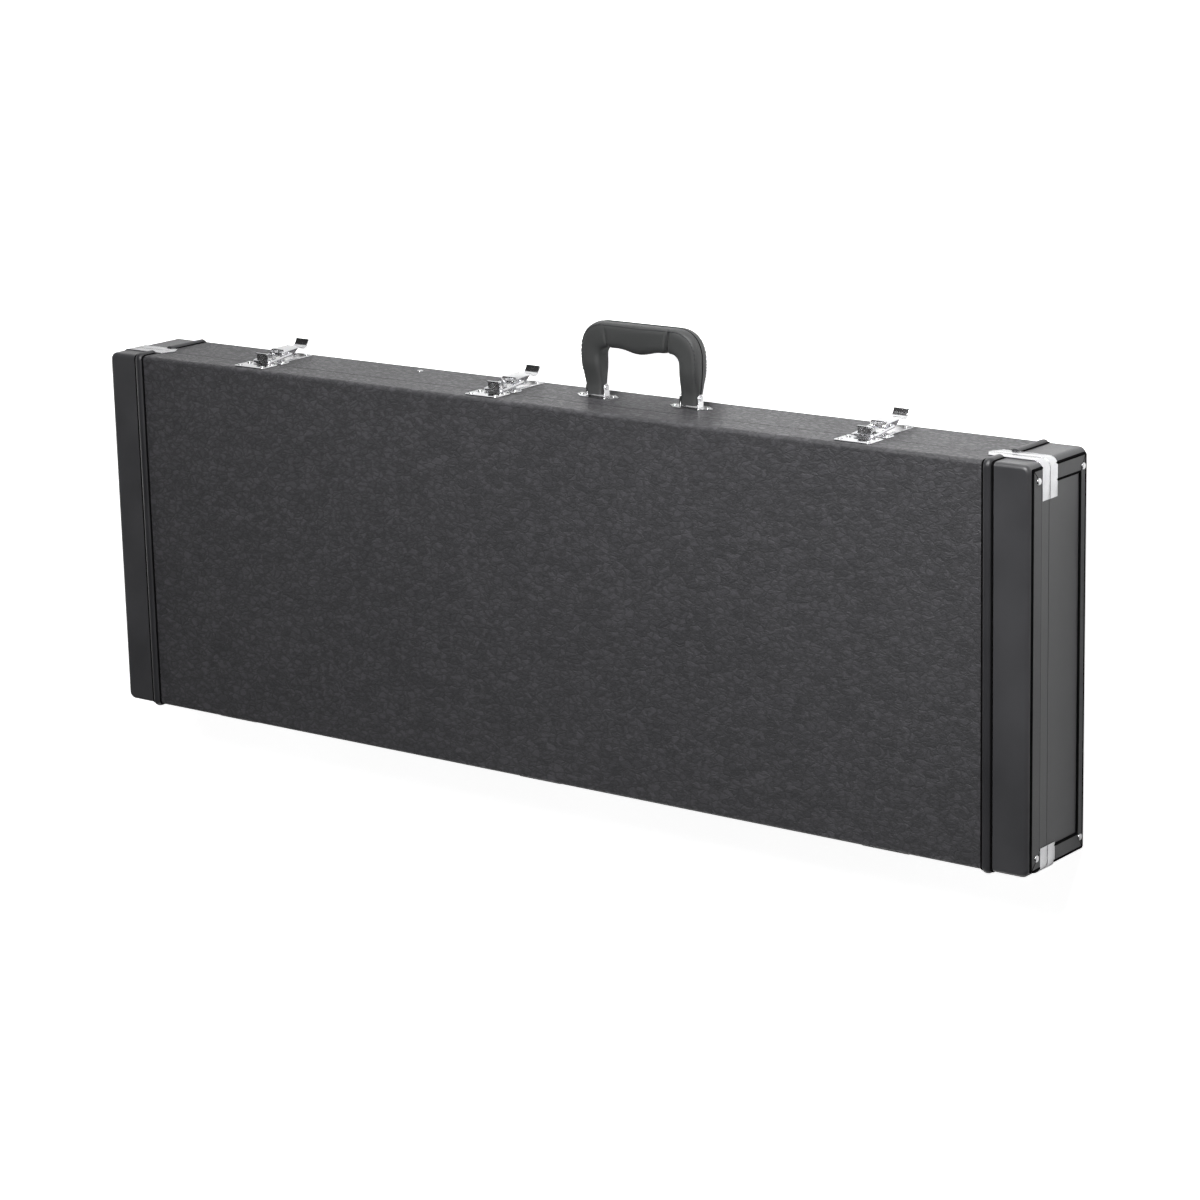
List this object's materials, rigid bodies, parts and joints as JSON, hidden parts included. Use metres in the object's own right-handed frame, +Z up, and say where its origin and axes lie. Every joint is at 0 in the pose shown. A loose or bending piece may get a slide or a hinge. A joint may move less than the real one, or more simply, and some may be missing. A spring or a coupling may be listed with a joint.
{
  "type": "electric guitar case",
  "caption": "Rectangular hard case for an electric guitar, with a hinged lid, draw latches, a moulded carrying handle and a padded, divided inside.",
  "frame": {"origin": "middle of the shell's footprint on the plane that the case rests on, lying on its back with the lid up", "axes": "+X along the case towards the head end, +Y towards the hinges, so the latches and handle are at -Y, +Z up through the lid. The picture shows the same case stood on its hinge side: its up is this frame's -Y, the lid face it shows is +Z, and its right-hand end is -X"},
  "size_m": [1.0556, 0.435, 0.0976],
  "materials": {
    "plywood": "bare sanded plywood, seen only at cut edges",
    "grained_vinyl": "black vinyl with a wrinkled leather grain, satin",
    "smooth_vinyl": "smooth black vinyl, satin, stitched at its welts",
    "chrome": "bright plated pressed steel",
    "steel": "plated wire and pins",
    "hinge_steel": "plated steel leaves and rivets",
    "plush": "short black plush over foam and board",
    "tape": "woven black tape",
    "handle_skin": "moulded black handle with a fine leather grain and sewn edge"
  },
  "bodies": {
    "base": {"base_corner_brackets": "chrome", "base_covering": "grained_vinyl", "base_end_band_left": "smooth_vinyl", "base_end_band_right": "smooth_vinyl", "base_end_trim_left": "smooth_vinyl", "base_end_trim_right": "smooth_vinyl", "base_lining": "plush", "base_shell": "plywood", "base_trim_rivets": "chrome", "base_welts": "smooth_vinyl", "body_bed": "plush", "box_cover": "plush", "box_partitions": "plush", "box_pull_tab": "tape", "box_tape_hinge": "tape", "feet": "chrome", "handle_pins": "steel", "handle_plate_left": "chrome", "handle_plate_right": "chrome", "handle_rivets": "chrome", "hinge_base_leaf_1": "hinge_steel", "hinge_base_leaf_2": "hinge_steel", "hinge_base_leaf_3": "hinge_steel", "hinge_base_rivets": "hinge_steel", "hinge_pins": "steel", "latch_plate_1": "chrome", "latch_plate_2": "chrome", "latch_plate_3": "chrome", "latch_plate_rivets": "chrome", "lever_pins": "steel", "neck_cradle": "plush", "rim_lip": "plush", "wall_rivet": "chrome"},
    "lid": {"catch_plate_1": "chrome", "catch_plate_2": "chrome", "catch_plate_3": "chrome", "catch_rivets": "chrome", "hinge_lid_leaf_1": "hinge_steel", "hinge_lid_leaf_2": "hinge_steel", "hinge_lid_leaf_3": "hinge_steel", "hinge_lid_rivets": "hinge_steel", "lid_corner_brackets": "chrome", "lid_covering": "grained_vinyl", "lid_end_band_left": "smooth_vinyl", "lid_end_band_right": "smooth_vinyl", "lid_end_trim_left": "smooth_vinyl", "lid_end_trim_right": "smooth_vinyl", "lid_lining": "plush", "lid_pad": "plush", "lid_shell": "plywood", "lid_trim_rivets": "chrome", "lid_welts": "smooth_vinyl"},
    "lever_1": {"latch_lever_1": "chrome"},
    "lever_2": {"latch_lever_2": "chrome"},
    "lever_3": {"latch_lever_3": "chrome"},
    "bail_1": {"latch_bail_1": "steel"},
    "bail_2": {"latch_bail_2": "steel"},
    "bail_3": {"latch_bail_3": "steel"},
    "handle": {"handle_grip": "handle_skin"}
  },
  "joints": [
    {"name": "lid_hinge", "type": "hinge", "parent": "base", "child": "lid", "pos_m": [0, 0.1815, 0.0633], "axis": [-1, 0, 0], "range_deg": [0, 105]},
    {"name": "latch_1_lever", "type": "hinge", "parent": "base", "child": "lever_1", "pos_m": [0.345, -0.184, 0.046], "axis": [-1, 0, 0], "range_deg": [0, 120]},
    {"name": "latch_2_lever", "type": "hinge", "parent": "base", "child": "lever_2", "pos_m": [0.058, -0.184, 0.046], "axis": [-1, 0, 0], "range_deg": [0, 120]},
    {"name": "latch_3_lever", "type": "hinge", "parent": "base", "child": "lever_3", "pos_m": [-0.347, -0.184, 0.046], "axis": [-1, 0, 0], "range_deg": [0, 120]},
    {"name": "latch_1_bail", "type": "hinge", "parent": "lever_1", "child": "bail_1", "pos_m": [0.345, -0.184, 0.0375], "axis": [1, 0, 0], "range_deg": [0, 126]},
    {"name": "latch_2_bail", "type": "hinge", "parent": "lever_2", "child": "bail_2", "pos_m": [0.058, -0.184, 0.0375], "axis": [1, 0, 0], "range_deg": [0, 126]},
    {"name": "latch_3_bail", "type": "hinge", "parent": "lever_3", "child": "bail_3", "pos_m": [-0.347, -0.184, 0.0375], "axis": [1, 0, 0], "range_deg": [0, 126]},
    {"name": "handle_swing", "type": "hinge", "parent": "base", "child": "handle", "pos_m": [-0.088, -0.1865, 0.034], "axis": [1, 0, 0], "range_deg": [-80, 80]}
  ],
  "couplings": [
    {"joint": "latch_1_bail", "follows": "latch_1_lever", "ratio": 1.05},
    {"joint": "latch_2_bail", "follows": "latch_2_lever", "ratio": 1.05},
    {"joint": "latch_3_bail", "follows": "latch_3_lever", "ratio": 1.05}
  ]
}
